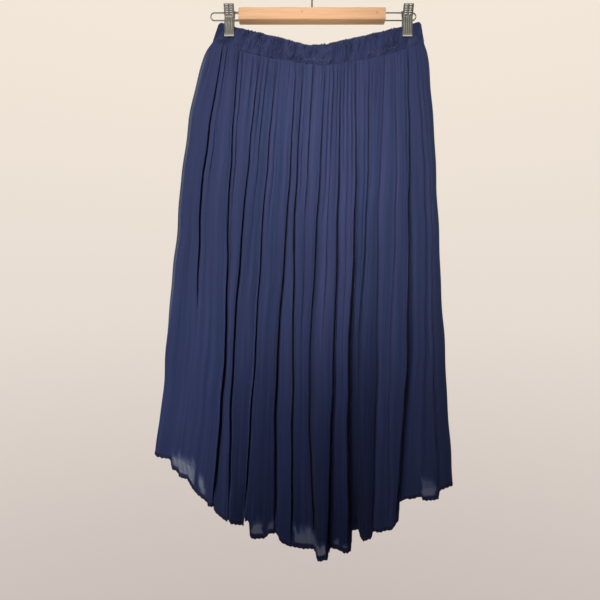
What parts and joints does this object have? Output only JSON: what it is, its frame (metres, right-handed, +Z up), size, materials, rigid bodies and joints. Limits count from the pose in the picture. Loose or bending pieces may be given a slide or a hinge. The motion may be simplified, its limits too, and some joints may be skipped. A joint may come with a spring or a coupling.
{
  "type": "pleated midi skirt on a wooden clip hanger",
  "caption": "Midi skirt of fine pleated sheer cloth with a shirred elastic waistband, a curved rolled hem and a plain lining, hung flat by clips from a wooden bar hanger with a wire hook.",
  "frame": {"origin": "top of the inside of the hook, where the hanger bears on a rail", "axes": "+Z up, the skirt's front faces -Y, +X to the right seen from the front"},
  "size_m": [0.506, 0.0958, 0.9907],
  "materials": {
    "cloth": "sheer navy crinkled pleated cloth",
    "lining": "plain opaque navy lining cloth",
    "waistband": "navy cloth shirred over elastic",
    "wood": "pale satin-lacquered wood",
    "wire": "nickel-plated steel wire",
    "clip": "pressed steel, dull nickel plate"
  },
  "bodies": {
    "root": {"front_panel": "cloth", "back_panel": "cloth", "lining_front": "lining", "lining_back": "lining", "waistband_front": "waistband", "waistband_back": "waistband", "hanger_bar": "wood", "hanger_hook": "wire", "wire_left": "wire", "wire_right": "wire", "clip_left_front": "clip", "clip_left_back": "clip", "clip_left_spring": "clip", "clip_right_front": "clip", "clip_right_back": "clip", "clip_right_spring": "clip"}
  },
  "joints": []
}
